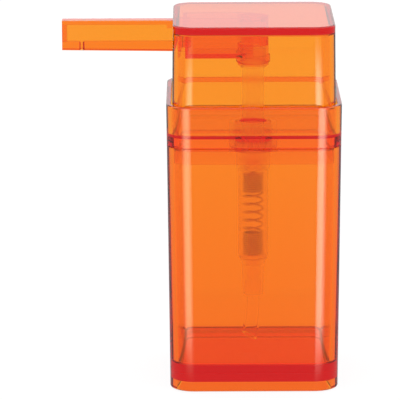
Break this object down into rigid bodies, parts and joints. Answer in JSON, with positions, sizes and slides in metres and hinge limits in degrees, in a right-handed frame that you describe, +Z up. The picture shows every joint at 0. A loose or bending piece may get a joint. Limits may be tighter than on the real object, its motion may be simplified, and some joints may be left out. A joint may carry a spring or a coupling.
{
  "type": "soap dispenser",
  "caption": "Square clear plastic liquid soap dispenser with a sprung press pump, a collar lid that lifts off for refilling and a thin straight spout.",
  "frame": {"origin": "centre of the face that the tumbler rests on, on the pump's axis", "axes": "+Z up along the pump's axis, the spout points along -X, +Y is away from the viewer when the spout points left"},
  "size_m": [0.113, 0.0706, 0.1497],
  "materials": {
    "clear_orange": "clear moulded polystyrene, tinted orange, polished",
    "natural_plastic": "natural translucent polypropylene, satin",
    "clear_tube": "clear extruded polyethylene tube",
    "spring_steel": "bright drawn stainless wire",
    "soft_rubber": "soft off-white elastomer, matt"
  },
  "bodies": {
    "container": {"tumbler": "clear_orange"},
    "lid": {"collar": "clear_orange", "pump_gasket": "soft_rubber", "pump_barrel": "natural_plastic", "closure_nut": "natural_plastic", "stem_bushing": "natural_plastic", "stem_wiper": "soft_rubber", "ball_cage": "natural_plastic", "return_spring": "spring_steel", "dip_tube": "clear_tube"},
    "head": {"head_cap": "clear_orange", "spout": "clear_orange", "spout_end_plug": "clear_orange", "soap_duct": "clear_orange", "stem_adapter": "natural_plastic", "stem": "natural_plastic", "piston": "natural_plastic", "piston_seat": "natural_plastic"},
    "inlet_valve": {"inlet_ball": "natural_plastic"},
    "outlet_valve": {"outlet_ball": "natural_plastic"}
  },
  "joints": [
    {"name": "refill_lift", "type": "slide", "parent": "container", "child": "lid", "axis": [0, 0, 1], "range_m": [0, 0.1]},
    {"name": "press", "type": "slide", "parent": "lid", "child": "head", "axis": [0, 0, 1], "range_m": [-0.01, 0], "stiffness_N_per_m": 1600, "springref_m": 0.003, "deforming": ["return_spring"]},
    {"name": "inlet_ball_lift", "type": "slide", "parent": "lid", "child": "inlet_valve", "axis": [0, 0, 1], "range_m": [0, 0.0011]},
    {"name": "outlet_ball_lift", "type": "slide", "parent": "head", "child": "outlet_valve", "axis": [0, 0, 1], "range_m": [0, 0.0018]}
  ]
}
